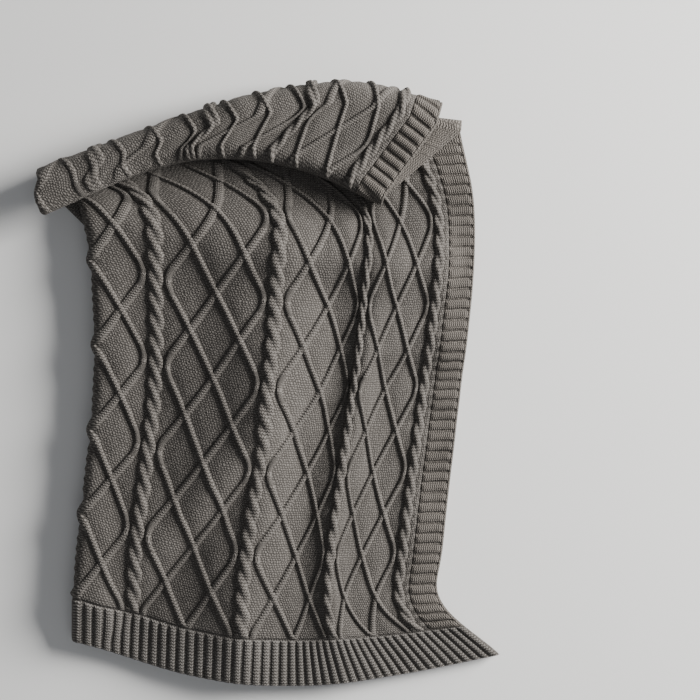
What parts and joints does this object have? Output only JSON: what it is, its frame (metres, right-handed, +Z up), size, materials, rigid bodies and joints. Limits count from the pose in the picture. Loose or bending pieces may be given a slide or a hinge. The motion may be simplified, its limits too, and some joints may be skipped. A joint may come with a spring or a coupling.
{
  "type": "cable knit throw",
  "caption": "Chunky knit throw with rope cables, lattice panels and ribbed borders, folded in half lengthwise and laid flat with its far end folded back over.",
  "frame": {"origin": "middle of the footprint, on the floor under the throw", "axes": "+X from the lengthwise fold to the free edge, +Y from the near hem to the rolled-back end, +Z up"},
  "size_m": [0.6017, 0.7866, 0.0788],
  "materials": {
    "centre_panel": "matte chunky knit, dark warm grey",
    "side_border_left": "matte chunky knit, dark warm grey",
    "side_border_right": "matte chunky knit, dark warm grey",
    "end_border_back": "matte chunky knit, dark warm grey",
    "end_border_front": "matte chunky knit, dark warm grey"
  },
  "bodies": {
    "root": {"centre_panel": "centre_panel", "side_border_left": "side_border_left", "side_border_right": "side_border_right", "end_border_back": "end_border_back", "end_border_front": "end_border_front"}
  },
  "joints": []
}
